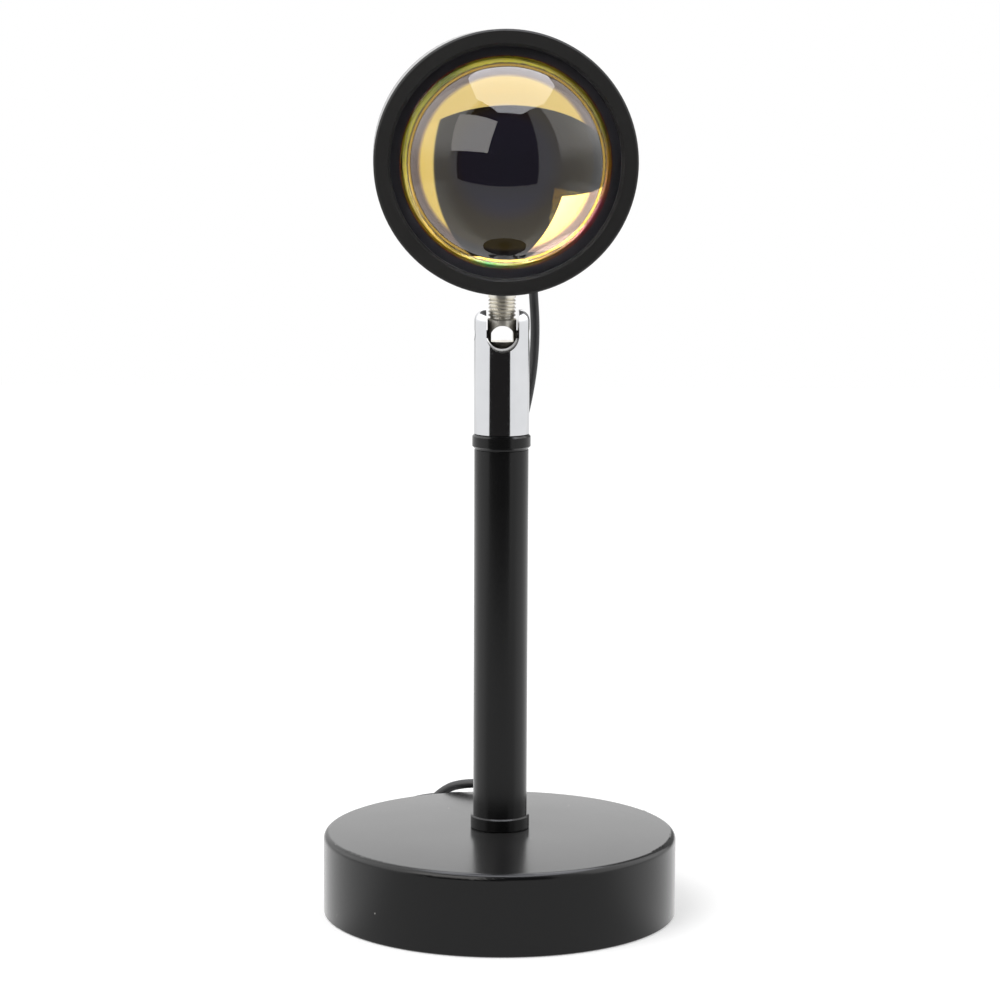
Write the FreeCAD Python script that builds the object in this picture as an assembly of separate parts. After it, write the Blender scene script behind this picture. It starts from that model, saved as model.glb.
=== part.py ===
"""Sunset projection lamp: round weighted base, slim pole, forked swivel joint and a round lens head.

Millimetres, +Z up, the lens faces -Y, origin at the centre of the underside of the foot pad.
The USB cord leaves the back of the head, hangs behind the pole, crosses the back rim of the base
and is wound into a small coil on the table, with its in-line switch and its plug beside it.
"""
import FreeCAD, Part
import math
import os

V = FreeCAD.Vector
X_AXIS = V(1, 0, 0)
Y_AXIS = V(0, 1, 0)
Z_AXIS = V(0, 0, 1)
CENTRE = V(0, 0, 0)

# ---------------------------------------------------------------- driving dimensions
base_r = 50.0
base_top = 24.3           # level seat round the pole; from there the top falls gently to the rim
base_seat_r = 11.0
base_fall = 1.1
base_rim = 0.2            # lower rim of the shell, just clear of the table
base_corner = 0.2
base_edge_r = 1.8
base_wall = 1.5
pad_r = 46.0
pad_top = 2.0
weight_r = 47.8
weight_h = 8.0
plate_t = 1.6
plate_r = 48.2
plate_post_r = 3.6
plate_post_ring = 34.0
post_angles = (30, 150, 270)

pole_r = 7.6
pole_wall = 1.2
pole_top = 132.6
lower_collar_r = 8.3
lower_collar_h = 3.8
upper_collar_r = 8.18
upper_collar_top = 136.7
insert_h = 20.0
bolt_r = 4.0

fork_r = 7.72
fork_top = 171.7
fork_edge_r = 3.2
slot_bottom_r = 4.55
pivot_z = 164.7
pivot_screw_r = 1.95
pivot_tip_r = 1.15
pivot_clearance = 0.05

knuckle_half = 4.0        # half width between its flats
knuckle_r = 4.15
knuckle_top = 169.2
window_half = 3.1
window_floor = 162.8
window_spring = 165.2     # height where the arch of the window starts
window_top = 167.35
stud_r = 3.8
stud_root_r = 3.35
thread_pitch = 1.0

head_z = 213.0            # height of the lens axis
head_yaw = 2.35           # the fork is screwed on this far from square to the base, in degrees
head_r = 35.8
head_bore_r = 34.0
ring_face = -24.0         # places along the lens axis, measured from the stud
ring_back = -21.4
ring_inner_r = 31.2
ring_bevel = 0.8
barrel_back = 17.0
cover_back = 20.0
seat_front = -15.0
seat_back = -13.0
seat_r = 30.5
lens_rim_r = 32.9
lens_edge_t = 4.0
dome_r = 29.2             # radius of the glass dome
dome_rim_r = 28.8         # where the dome meets the flat flange of the lens
filter_t = 1.1
heat_plate_front = 9.0
heat_plate_t = 3.0
fin_reach = 26.5
led_screw_x = 7.4
led_screw_r = 1.25
boss_ring = 30.2
boss_r = 3.2
boss_angles = (30, 150, 270)    # two low at the sides and one at the top, clear of the stud
gland_x = 9.5             # the cord leaves the rear cover below and to one side of its centre
gland_drop = 23.0
gland_tip = 33.0

cord_r = 1.35
coil_centre = V(-14.0, 74.0, 0)
coil_pitch = 3.2          # from turn to turn and from layer to layer
coil_outer_r = 19.1
coil_layer_turns = 3.25
coil_layers = 4
coil_total_turns = 12.5
coil_climb = 0.5          # turns in which the cord climbs a layer, where the spiral reverses
coil_bottom = 2.0         # height of the centre line of the lowest layer
tie_w = 6.0
tie_t = 0.5

switch_centre = V(21.5, 82.3, 0)
switch_long = 30.0
switch_wide = 14.0
switch_h = 9.0
switch_wall = 1.5
switch_gland = 2.5
button_r = 4.2
plug_tail = V(39.5, 99.6, 3.6)
plug_relief = 8.0
plug_grip = V(14.8, 21.0, 7.0)
plug_shell_size = V(12.0, 12.0, 4.5)
plug_shell_t = 0.3

# The cord's route from the gland's tip to the coil.  The head loop ends half way along the run
# between its last point and the first point of the drop.
head_loop_route = [
    (7.83, 41.0, 190.0), (8.4, 48.8, 184.6), (9.1, 52.8, 174.0), (10.0, 52.6, 160.5),
    (8.9, 51.2, 146.0), (5.0, 50.2, 129.0),
]
drop_route = [
    (3.2, 49.8, 111.5), (2.8, 48.6, 94.0), (2.6, 47.4, 76.5), (2.6, 46.5, 59.5), (2.2, 45.8, 43.5),
    (-0.2, 46.0, 31.4), (-5.4, 47.2, 26.8), (-12.4, 49.3, 26.9), (-18.8, 52.4, 24.2),
    (-26.0, 55.8, 15.4), (-31.3, 58.8, 6.4), (-33.1, 65.3, 2.0),
]
switch_lead_route = [
    (3.5, 65.0, 11.6), (3.8, 57.3, 9.0), (8.8, 51.8, 6.2), (16.2, 51.8, 4.7), (21.5, 57.1, 4.5),
]
plug_lead_route = [
    (21.5, 107.2, 4.5), (26.8, 112.5, 4.2), (34.2, 112.5, 3.8), (39.5, 107.2, 3.6),
]


# ---------------------------------------------------------------- small helpers
def outline(start, *steps):
    """A closed wire in the XZ plane: a step is the next point, or a pair (point on the arc, end)."""
    edges = []
    here = start
    for step in list(steps) + [start]:
        if isinstance(step[0], tuple):
            middle, end = step
            arc = Part.Arc(V(here[0], 0, here[1]), V(middle[0], 0, middle[1]), V(end[0], 0, end[1]))
            edges.append(arc.toShape())
        else:
            end = step
            if math.dist(here, end) > 1e-6:
                edges.append(Part.LineSegment(V(here[0], 0, here[1]), V(end[0], 0, end[1])).toShape())
        here = end
    return Part.Wire(edges)


def turned(start, *steps):
    """A solid turned about Z from an outline in (radius, height)."""
    return Part.Face(outline(start, *steps)).revolve(CENTRE, Z_AXIS, 360)


def head_turned(start, *steps):
    """The same, turned about the lens axis from an outline in (radius, place along the axis)."""
    return onto_head_axis(turned(start, *steps))


def onto_head_axis(shape):
    shape.rotate(CENTRE, X_AXIS, -90)
    shape.translate(V(0, 0, head_z))
    return shape


def yawed(shape):
    """Turns what stands on the pole to where the photographed fork points."""
    shape.rotate(CENTRE, Z_AXIS, head_yaw)
    return shape


def ring(inner, outer, low, high):
    return turned((inner, low), (outer, low), (outer, high), (inner, high))


def rod(radius, start, direction, length):
    return Part.makeCylinder(radius, length, start, direction)


def hex_prism(across, height, centre, direction=Z_AXIS):
    """A six-sided prism with its axis through the centre point."""
    corner_r = across / math.sqrt(3)
    corners = [V(corner_r * math.cos(k * math.pi / 3), corner_r * math.sin(k * math.pi / 3), 0)
               for k in range(7)]
    prism = Part.Face(Part.makePolygon(corners)).extrude(V(0, 0, height))
    turn = FreeCAD.Rotation(Z_AXIS, direction)
    prism.Placement = FreeCAD.Placement(centre, turn)
    return prism


def rounded_bar(long, wide, high, corner, centre, low):
    """An upright block with round corners seen from above, its length along X."""
    block = Part.makeBox(long, wide, high, V(centre.x - long / 2, centre.y - wide / 2, low))
    uprights = [e for e in block.Edges if abs(e.tangentAt(e.FirstParameter).z) > 0.9]
    return block.makeFillet(corner, uprights)


def polar(radius, degrees, z=0.0):
    return V(radius * math.cos(math.radians(degrees)), radius * math.sin(math.radians(degrees)), z)


# ---------------------------------------------------------------- cord helpers
def rounded_path(points, name):
    """Straight runs joined by tangent arcs, each arc as large as its two runs allow."""
    points = [V(*p) if isinstance(p, tuple) else p for p in points]
    edges = []
    radii = []
    here = points[0]
    for before, corner, after in zip(points, points[1:], points[2:]):
        run_in = corner - before
        run_out = after - corner
        turn = run_in.getAngle(run_out)
        cut = 0.45 * min(run_in.Length, run_out.Length)
        radius = cut / math.tan(turn / 2)
        radii.append(radius)
        arc_start = corner - V(run_in).normalize() * cut
        arc_end = corner + V(run_out).normalize() * cut
        chord_middle = (arc_start + arc_end) * 0.5
        rise = (arc_end - arc_start).Length / 2 * math.tan(turn / 4)
        arc_middle = chord_middle + V(corner - chord_middle).normalize() * rise
        edges.append(Part.LineSegment(here, arc_start).toShape())
        edges.append(Part.Arc(arc_start, arc_middle, arc_end).toShape())
        here = arc_end
    edges.append(Part.LineSegment(here, points[-1]).toShape())
    wire = Part.Wire(edges)
    print(name, "length %.1f" % wire.Length, "least radius %.1f" % min(radii),
          "= %.1f diameters" % (min(radii) / cord_r / 2))
    return wire


def tube(path, start_direction, name):
    section = Part.Wire(Part.Circle(path.Edges[0].Vertexes[0].Point, start_direction, cord_r).toShape())
    solid = path.makePipeShell([section], True, False)
    filled = solid.Volume / (math.pi * cord_r ** 2 * path.Length)
    print(name, "volume over section times length %.3f" % filled, "valid", solid.isValid())
    return solid


def cord_piece(points, name):
    points = [V(*p) if isinstance(p, tuple) else p for p in points]
    return tube(rounded_path(points, name), points[1] - points[0], name)


def biarc(p0, t0, p1, t1):
    """Two tangent arcs from p0 heading t0 to p1 heading t1."""
    span = p1 - p0
    both = t0 + t1
    a = 2 * (t0.dot(t1) - 1)
    b = -2 * span.dot(both)
    c = span.dot(span)
    if abs(a) < 1e-9:
        reach = -c / b
    else:
        reach = (-b - math.sqrt(b * b - 4 * a * c)) / (2 * a)
    q0 = p0 + t0 * reach
    q1 = p1 - t1 * reach
    joint = (q0 + q1) * 0.5
    arcs = []
    for start, corner, end in ((p0, q0, joint), (joint, q1, p1)):
        middle = (start + end) * 0.5
        turn = (corner - start).getAngle(end - corner)
        rise = (end - start).Length / 2 * math.tan(turn / 4)
        point = middle + V(corner - middle).normalize() * rise
        arcs.append(Part.Arc(start, point, end).toShape())
    return arcs


def coil_state(turn):
    """Radius and height of the centre line: it spirals in and out, and climbs where it reverses."""
    layer = min(int(turn / coil_layer_turns), coil_layers - 1)
    within = turn - layer * coil_layer_turns
    inwards = within if layer % 2 == 0 else coil_layer_turns - within
    radius = coil_outer_r - inwards * coil_pitch
    height = coil_bottom + layer * coil_pitch
    reversal = min(max(round(turn / coil_layer_turns), 1), coil_layers - 1)
    past = (turn - reversal * coil_layer_turns) / coil_climb
    if abs(past) < 0.5:
        rounding = (0.25 + past * past - abs(past)) * coil_climb * coil_pitch
        radius += rounding if reversal % 2 == 1 else -rounding
        height = coil_bottom + (reversal - 1 + ease(past + 0.5)) * coil_pitch
    return radius, height


def ease(share):
    return share * share * (3 - 2 * share)


def coil_point(turn):
    """The cord enters at the coil's left and goes round clockwise, seen from above."""
    radius, height = coil_state(turn)
    return coil_centre + polar(radius, 180 - 360 * turn, height)


def coil_heading(turn):
    step = 0.01
    if turn in (0, coil_total_turns):
        return polar(1, 90 - 360 * turn)
    return (coil_point(turn + step) - coil_point(turn - step)).normalize()


def coil_end(turn):
    """Where the coil's straight end, one cord diameter long, meets the next stretch of cord."""
    way = -1 if turn == 0 else 1
    return coil_point(turn) + coil_heading(turn) * 2 * cord_r * way


def coil_path():
    quarters = int(round(coil_total_turns * 4))
    stops = [k / 4 for k in range(quarters + 1)]
    edges = [Part.LineSegment(coil_end(0), coil_point(0)).toShape()]
    for start, end in zip(stops, stops[1:]):
        edges += biarc(coil_point(start), coil_heading(start), coil_point(end), coil_heading(end))
    edges.append(Part.LineSegment(coil_point(coil_total_turns), coil_end(coil_total_turns)).toShape())
    return Part.Wire(edges)


def least_gap(wire):
    """Least distance from the tube to itself, on points along its centre line."""
    points = wire.discretize(int(wire.Length / 1.2))
    skip = int(math.ceil(6 * cord_r / 1.2))
    least = 1e9
    for i, p in enumerate(points):
        for q in points[i + skip:]:
            gap = (p - q).Length
            if gap < least:
                least = gap
    return least - 2 * cord_r


# ---------------------------------------------------------------- base
def make_base_shell():
    edge = base_edge_r
    inner_r = base_r - base_wall
    rim_top = base_top - base_fall
    inner_top = base_top - base_wall
    inner_rim_top = rim_top - base_wall
    quarter = 1 - math.cos(math.radians(45))
    half_way = (base_seat_r + base_r - edge) / 2
    inner_half_way = (base_seat_r + inner_r - edge) / 2
    return turned(
        (bolt_r + 0.2, base_top), (base_seat_r, base_top),
        ((half_way, base_top - base_fall / 4), (base_r - edge, rim_top)),
        ((base_r - edge * quarter, rim_top - edge * quarter), (base_r, rim_top - edge)),
        (base_r, base_rim + base_corner), (base_r - base_corner, base_rim), (inner_r, base_rim),
        (inner_r, inner_rim_top - edge),
        ((inner_r - edge * quarter, inner_rim_top - edge * quarter), (inner_r - edge, inner_rim_top)),
        ((inner_half_way, inner_top - base_fall / 4), (base_seat_r, inner_top)),
        (bolt_r + 0.2, inner_top))


def make_base_weight():
    top = base_top - base_wall
    low = top - weight_h
    rim = top - base_fall - 0.4
    disc = turned((bolt_r + 0.2, low), (weight_r - 0.6, low), (weight_r, low + 0.6), (weight_r, rim - 1.6),
                  (weight_r - 1.6, rim), (base_seat_r, top), (bolt_r + 0.2, top))
    for angle in post_angles:
        disc = disc.cut(rod(1.25, polar(plate_post_ring, angle, low), Z_AXIS, 6.0))
    return disc


def make_bottom_plate():
    low = pad_top
    plate = turned((0, low), (plate_r - 0.4, low), (plate_r, low + 0.4), (plate_r, low + plate_t),
                   (0, low + plate_t))
    post_top = base_top - base_wall - weight_h
    for angle in post_angles:
        foot = polar(plate_post_ring, angle, low)
        plate = plate.fuse(rod(plate_post_r, foot, Z_AXIS, post_top - low))
    for angle in post_angles:
        foot = polar(plate_post_ring, angle, low)
        plate = plate.cut(rod(1.6, foot, Z_AXIS, post_top - low))
        plate = plate.cut(rod(2.9, foot, Z_AXIS, 8.0))
    return plate


def make_plate_screws():
    screws = []
    for angle in post_angles:
        seat = polar(plate_post_ring, angle, pad_top + 8.0)
        head = rod(2.75, seat - V(0, 0, 2.2), Z_AXIS, 2.2)
        cross = Part.makeBox(3.2, 0.7, 1.1, seat - V(1.6, 0.35, 2.2))
        cross = cross.fuse(Part.makeBox(0.7, 3.2, 1.1, seat - V(0.35, 1.6, 2.2)))
        shank = rod(1.25, seat, Z_AXIS, 9.0)
        screws.append(head.cut(cross).fuse(shank).removeSplitter())
    return Part.makeCompound(screws)


def make_base_pad():
    return turned((0, 0), (pad_r - 0.6, 0), (pad_r, 0.6), (pad_r, pad_top), (0, pad_top))


def make_pole_bolt():
    seat = base_top - base_wall - weight_h - 1.6
    head = hex_prism(13.0, 5.3, V(0, 0, seat - 5.3))
    chamfer = turned((0, seat - 5.3), (6.3, seat - 5.3), (8.2, seat - 4.2), (8.2, seat), (0, seat))
    shank = rod(bolt_r, V(0, 0, seat), Z_AXIS, 27.0)
    return head.common(chamfer).fuse(shank).removeSplitter()


def make_bolt_washer():
    top = base_top - base_wall - weight_h
    return ring(bolt_r + 0.2, 9.0, top - 1.6, top)


# ---------------------------------------------------------------- pole
def make_pole_insert():
    plug = ring(bolt_r, pole_r - pole_wall, base_top, base_top + insert_h)
    return plug


def make_lower_collar():
    top = base_top + lower_collar_h
    return turned((pole_r, base_top), (lower_collar_r - 0.3, base_top), (lower_collar_r, base_top + 0.3),
                  (lower_collar_r, top - 0.35), (lower_collar_r - 0.35, top), (pole_r, top))


def make_pole_tube():
    inner = pole_r - pole_wall
    return turned((inner, base_top), (pole_r, base_top), (pole_r, pole_top - 0.2), (pole_r - 0.2, pole_top),
                  (inner, pole_top))


def make_upper_collar():
    spigot_r = pole_r - pole_wall
    step_top = pole_top + 0.5
    top = upper_collar_top
    return turned((0, pole_top - 10), (spigot_r - 0.5, pole_top - 10), (spigot_r, pole_top - 9.5),
                  (spigot_r, pole_top), (pole_r - 0.1, pole_top), (pole_r + 0.15, step_top),
                  (upper_collar_r - 0.35, step_top), (upper_collar_r, step_top + 0.35),
                  (upper_collar_r, top - 0.5), (upper_collar_r - 0.5, top), (bolt_r, top),
                  (bolt_r, top + 9.5), (bolt_r - 0.5, top + 10), (0, top + 10))


# ---------------------------------------------------------------- swivel joint
def make_fork():
    top = fork_top
    edge = fork_edge_r
    quarter = 1 - math.cos(math.radians(45))
    body = turned(
        (0, upper_collar_top), (fork_r - 0.3, upper_collar_top), (fork_r, upper_collar_top + 0.3),
        (fork_r, top - edge), ((fork_r - edge * quarter, top - edge * quarter), (fork_r - edge, top)),
        (0, top))
    slot = outline((-slot_bottom_r, top + 1), (-slot_bottom_r, pivot_z),
                   ((0, pivot_z - slot_bottom_r), (slot_bottom_r, pivot_z)), (slot_bottom_r, top + 1))
    slot_tool = Part.Face(slot).extrude(V(0, 2 * fork_r + 2, 0))
    slot_tool.translate(V(0, -fork_r - 1, 0))
    body = body.cut(slot_tool)
    body = body.cut(rod(bolt_r, V(0, 0, upper_collar_top), Z_AXIS, 11.0))
    body = body.cut(rod(pivot_screw_r, V(-fork_r - 1, 0, pivot_z), X_AXIS, 2 * fork_r + 2))
    return yawed(body)


def make_pivot_screws():
    screws = []
    for side in (-1, 1):
        outward = V(side, 0, 0)
        thread_end = V(side * (slot_bottom_r + 0.1), 0, pivot_z)
        thread = rod(pivot_screw_r, thread_end, outward, fork_r - slot_bottom_r - 0.6)
        tip = rod(pivot_tip_r, V(side * (window_half + 0.15), 0, pivot_z), outward,
                  slot_bottom_r - window_half)
        socket = hex_prism(1.6, 1.3, V(side * (fork_r - 1.8), 0, pivot_z), outward)
        screws.append(thread.fuse(tip).removeSplitter().cut(socket))
    return yawed(Part.makeCompound(screws))


def make_knuckle():
    """A drilled ball with flat cheeks and a window from front to back; its stud carries the head."""
    ball = Part.makeSphere(knuckle_r, V(0, 0, pivot_z))
    edge = 0.4
    crown = turned((0, pivot_z), (knuckle_r, pivot_z), (knuckle_r, knuckle_top - edge),
                   (knuckle_r - edge, knuckle_top), (0, knuckle_top))
    flats = Part.makeBox(2 * knuckle_half, 20, 20, V(-knuckle_half, -10, pivot_z - 10))
    body = ball.fuse(crown).common(flats)
    stud = turned(*stud_outline())
    body = body.fuse(stud).removeSplitter()
    window = outline((-window_half, window_floor), (window_half, window_floor), (window_half, window_spring),
                     ((0, window_top), (-window_half, window_spring)))
    window_tool = Part.Face(window).extrude(V(0, 20, 0))
    window_tool.translate(V(0, -10, 0))
    body = body.cut(window_tool)
    body = body.cut(rod(pivot_tip_r + pivot_clearance, V(-10, 0, pivot_z), X_AXIS, 20))
    return yawed(body)


def stud_outline():
    """Ridges of the bare stretch of thread, then the plain shank that carries the nut."""
    low = knuckle_top - 0.2
    points = [(0, low), (stud_root_r, low), (stud_root_r, knuckle_top + 0.4)]
    z = knuckle_top + 0.4
    for _ in range(5):
        points += [(stud_r, z + 0.35 * thread_pitch), (stud_r, z + 0.6 * thread_pitch),
                   (stud_root_r, z + thread_pitch)]
        z += thread_pitch
    top = head_z - head_bore_r + 9.0
    points += [(stud_r, z + 0.35), (stud_r, top - 0.6), (stud_r - 0.6, top), (0, top)]
    return points


def make_stud_saddle():
    """Fills the curve of the barrel under the nut, so that the nut bears on a flat."""
    low = head_z - head_bore_r - 1
    flat = head_z - head_bore_r + 3.6
    block = Part.makeBox(16, 14, flat - low, V(-8, -7, low))
    block = block.common(onto_head_axis(rod(head_bore_r, V(0, 0, -10), Z_AXIS, 20)))
    block = block.cut(rod(stud_r + 0.2, V(0, 0, low), Z_AXIS, 10))
    return yawed(block)


def make_stud_nut():
    flat = head_z - head_bore_r + 3.6
    nut = hex_prism(12.0, 4.0, V(0, 0, flat))
    nut = nut.cut(rod(stud_r, V(0, 0, flat), Z_AXIS, 4.0))
    return yawed(nut)


# ---------------------------------------------------------------- head
def make_head_barrel():
    wall = head_turned(
        (head_bore_r, ring_back), (head_r, ring_back), (head_r, barrel_back), (head_bore_r, barrel_back),
        (head_bore_r, seat_back), (seat_r, seat_back), (seat_r, seat_front), (head_bore_r, seat_front))
    for angle in boss_angles:
        boss = rod(boss_r, polar(boss_ring, angle, seat_back), Z_AXIS, heat_plate_front - seat_back)
        web = Part.makeBox(5.0, 6.0, heat_plate_front - seat_back, V(-2.5, boss_ring, seat_back))
        web.rotate(CENTRE, Z_AXIS, angle - 90)
        web = web.common(rod(head_bore_r + 0.5, V(0, 0, seat_back), Z_AXIS, 60))
        hole = rod(1.2, polar(boss_ring, angle, 0), Z_AXIS, heat_plate_front)
        wall = wall.fuse(onto_head_axis(boss.fuse(web).cut(hole)))
    wall = wall.removeSplitter()
    wall = wall.cut(rod(stud_r + 0.2, V(0, 0, head_z - head_r - 2), Z_AXIS, 8))
    return yawed(wall)


def make_front_ring():
    edge = 0.5
    return yawed(head_turned(
        (ring_inner_r, ring_back), (ring_inner_r, ring_face + ring_bevel),
        (ring_inner_r + ring_bevel, ring_face),
        (head_r - edge, ring_face), (head_r, ring_face + edge), (head_r, ring_back),
        (head_bore_r - 0.1, ring_back), (head_bore_r - 0.1, ring_back + lens_edge_t),
        (lens_rim_r + 0.1, ring_back + lens_edge_t), (lens_rim_r + 0.1, ring_back)))


def make_lens():
    back = ring_back + lens_edge_t
    depth = math.sqrt(dome_r ** 2 - dome_rim_r ** 2)
    apex = ring_back + depth - dome_r
    slope = math.radians(50)
    on_dome = (dome_r * math.cos(slope), ring_back + depth - dome_r * math.sin(slope))
    return yawed(head_turned(
        (0, back), (lens_rim_r, back), (lens_rim_r, ring_back), (dome_rim_r, ring_back),
        (on_dome, (0, apex))))


def make_color_filter():
    front = ring_back + lens_edge_t
    back = front + filter_t
    return yawed(head_turned((0, front), (lens_rim_r, front), (lens_rim_r, back), (0, back)))


def make_lens_gasket():
    front = ring_back + lens_edge_t + filter_t
    inner = seat_r + 0.5
    return yawed(head_turned((inner, front), (lens_rim_r, front), (lens_rim_r, seat_front),
                             (inner, seat_front)))


def make_heat_sink():
    back = heat_plate_front + heat_plate_t
    plate = rod(head_bore_r - 0.2, V(0, 0, heat_plate_front), Z_AXIS, heat_plate_t)
    for place in range(-3, 4):
        across = place * 7.0
        long = 2 * math.sqrt(fin_reach ** 2 - across ** 2)
        fin = Part.makeBox(long, 1.6, 4.4, V(-long / 2, across - 0.8, back))
        plate = plate.fuse(fin)
    for angle in boss_angles:
        plate = plate.cut(rod(1.6, polar(boss_ring, angle, heat_plate_front - 1), Z_AXIS, 6))
    for side in (-1, 1):
        plate = plate.cut(rod(led_screw_r, V(side * led_screw_x, 0, heat_plate_front - 1), Z_AXIS, 3.6))
    gland_spot = V(gland_x, gland_drop, heat_plate_front - 1)
    plate = plate.removeSplitter().cut(rod(3.6, gland_spot, Z_AXIS, 10))
    return yawed(onto_head_axis(plate))


def make_led_board():
    board = rod(10.0, V(0, 0, heat_plate_front - 1.6), Z_AXIS, 1.6)
    for side in (-1, 1):
        board = board.cut(rod(led_screw_r, V(side * led_screw_x, 0, heat_plate_front - 2), Z_AXIS, 3))
    return yawed(onto_head_axis(board))


def make_led_screws():
    screws = []
    for side in (-1, 1):
        place = V(side * led_screw_x, 0, heat_plate_front - 1.6)
        head = rod(2.0, place - V(0, 0, 1.2), Z_AXIS, 1.2)
        shank = rod(led_screw_r, place, Z_AXIS, 4.2)
        screws.append(head.fuse(shank).removeSplitter())
    return yawed(onto_head_axis(Part.makeCompound(screws)))


def make_led_emitter():
    front = heat_plate_front - 1.6
    package = rounded_bar(5.0, 5.0, 1.0, 0.4, CENTRE, front - 1.0)
    dome = Part.makeSphere(2.0, V(0, 0, front - 1.0)).common(Part.makeBox(6, 6, 3, V(-3, -3, front - 4.0)))
    return yawed(onto_head_axis(package.fuse(dome).removeSplitter()))


def make_led_resistors():
    front = heat_plate_front - 1.6
    chips = [Part.makeBox(3.2, 1.6, 0.7, V(-1.6 + shift, -6.6, front - 0.7)) for shift in (-2.2, 2.2)]
    return yawed(onto_head_axis(Part.makeCompound(chips)))


def make_led_leads():
    """Two wires from the gland, through the notch in the heat sink, to the pads of the board."""
    leads = []
    for side in (-1, 1):
        start = V(gland_x + side * 0.9, gland_drop, barrel_back - 0.2)
        through = V(gland_x + side * 0.9, gland_drop, heat_plate_front - 3.6)
        pad = V(side * 2.4 + 2.4, 8.3, heat_plate_front - 3.4)
        landing = V(side * 2.4 + 2.4, 7.4, heat_plate_front - 1.62)
        reach = through - start
        pieces = rod(0.55, start, reach, reach.Length)
        reach = pad - through
        pieces = pieces.fuse(rod(0.55, through, reach, reach.Length))
        pieces = pieces.fuse(Part.makeSphere(0.55, through))
        pieces = pieces.fuse(Part.makeSphere(0.55, pad))
        reach = landing - pad
        pieces = pieces.fuse(rod(0.55, pad, reach, reach.Length - 0.25))
        leads.append(pieces.removeSplitter())
    return yawed(onto_head_axis(Part.makeCompound(leads)))


def make_rear_cover():
    heat_back = heat_plate_front + heat_plate_t
    round_r = 1.5
    quarter = 1 - math.cos(math.radians(45))
    cover = turned(
        (0, barrel_back), (31.6, barrel_back), (31.6, heat_back), (head_bore_r - 0.1, heat_back),
        (head_bore_r - 0.1, barrel_back), (head_r, barrel_back), (head_r, cover_back - round_r),
        ((head_r - round_r * quarter, cover_back - round_r * quarter), (head_r - round_r, cover_back)),
        (0, cover_back))
    for place in range(-3, 4):
        across = place * 5.2 - 2.0
        half = math.sqrt(19.0 ** 2 - across ** 2)
        slot = rounded_bar(2 * half, 2.4, 6.0, 1.15, V(0, across - 2.0, 0), barrel_back - 1)
        cover = cover.cut(slot)
    for angle in boss_angles:
        place = polar(boss_ring, angle, barrel_back)
        cover = cover.cut(rod(1.7, polar(boss_ring, angle, heat_back), Z_AXIS, 10))
        cover = cover.cut(rod(3.1, place + V(0, 0, 1.2), Z_AXIS, 3))
        pillar = rod(3.0, polar(boss_ring, angle, heat_back), Z_AXIS, barrel_back - heat_back)
        pillar = pillar.common(rod(head_bore_r - 0.1, V(0, 0, heat_back), Z_AXIS, 9))
        cover = cover.fuse(pillar.cut(rod(1.7, polar(boss_ring, angle, heat_back), Z_AXIS, 10)))
    cover = cover.cut(rod(3.0, V(gland_x, gland_drop, barrel_back - 1), Z_AXIS, 6))
    return yawed(onto_head_axis(cover.removeSplitter()))


def make_rear_screws():
    screws = []
    for angle in boss_angles:
        seat = polar(boss_ring, angle, barrel_back + 1.2)
        head = rod(2.8, seat, Z_AXIS, 1.6)
        socket = hex_prism(2.0, 1.2, seat + V(0, 0, 0.6))
        shank = rod(1.2, seat - V(0, 0, 14.0), Z_AXIS, 14.0)
        screws.append(head.cut(socket).fuse(shank).removeSplitter())
    return yawed(onto_head_axis(Part.makeCompound(screws)))


def make_cord_gland():
    tip = gland_tip
    body = turned(
        (0, barrel_back - 0.2), (4.0, barrel_back - 0.2), (4.0, barrel_back), (3.0, barrel_back),
        (3.0, cover_back), (4.2, cover_back), (4.2, cover_back + 0.9), (3.9, cover_back + 1.2),
        (3.2, cover_back + 1.2), (2.0, tip - 0.3), (1.8, tip), (0, tip))
    for place in range(5):
        low = cover_back + 2.6 + place * 1.9
        root = 2.2 - place * 0.17
        body = body.cut(ring(root, 5.0, low, low + 0.8))
    body.translate(V(gland_x, gland_drop, 0))
    return yawed(onto_head_axis(body))


# ---------------------------------------------------------------- cord and what is on it
def gland_tip_point():
    tip = Part.Vertex(gland_x, gland_tip, head_z - gland_drop)
    return yawed(tip).Point


def loop_end():
    return (V(*head_loop_route[-1]) + V(*drop_route[0])) * 0.5


def switch_end(side):
    return switch_centre + V(0, side * (switch_long / 2 + switch_gland), switch_h / 2)


def make_cord_head_loop():
    return cord_piece([gland_tip_point()] + head_loop_route + [loop_end()], "cord_head_loop")


def make_cord_drop():
    return cord_piece([loop_end()] + drop_route + [coil_end(0)], "cord_drop")


def make_cord_coil():
    path = coil_path()
    print("cord_coil length %.1f" % path.Length, "least gap to itself %.2f" % least_gap(path))
    return tube(path, coil_heading(0), "cord_coil")


def make_cord_switch_lead():
    return cord_piece([coil_end(coil_total_turns)] + switch_lead_route + [switch_end(-1)], "cord_switch_lead")


def make_cord_plug_lead():
    return cord_piece([switch_end(1)] + plug_lead_route + [plug_tail], "cord_plug_lead")


def make_cord_tie():
    """A flat strap round the turns, on the side of the coil next to the base."""
    slack = 0.3
    inner_edge = coil_outer_r - coil_layer_turns * coil_pitch - cord_r
    inner_r = math.sqrt(inner_edge ** 2 - (tie_w / 2) ** 2) - slack - tie_t
    outer_r = coil_outer_r + cord_r + slack
    low = coil_bottom - cord_r - tie_t - 0.1
    high = coil_bottom + (coil_layers - 1) * coil_pitch + cord_r + tie_t + 0.1
    deep = outer_r - inner_r
    outer = Part.makeBox(tie_w, deep, high - low, coil_centre + V(-tie_w / 2, -outer_r, low))
    bends = [e for e in outer.Edges if abs(e.tangentAt(e.FirstParameter).x) > 0.9]
    inside = Part.makeBox(tie_w, deep - 2 * tie_t, high - low - 2 * tie_t,
                          coil_centre + V(-tie_w / 2, tie_t - outer_r, low + tie_t))
    return outer.makeFillet(1.2, bends).cut(inside)


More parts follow.
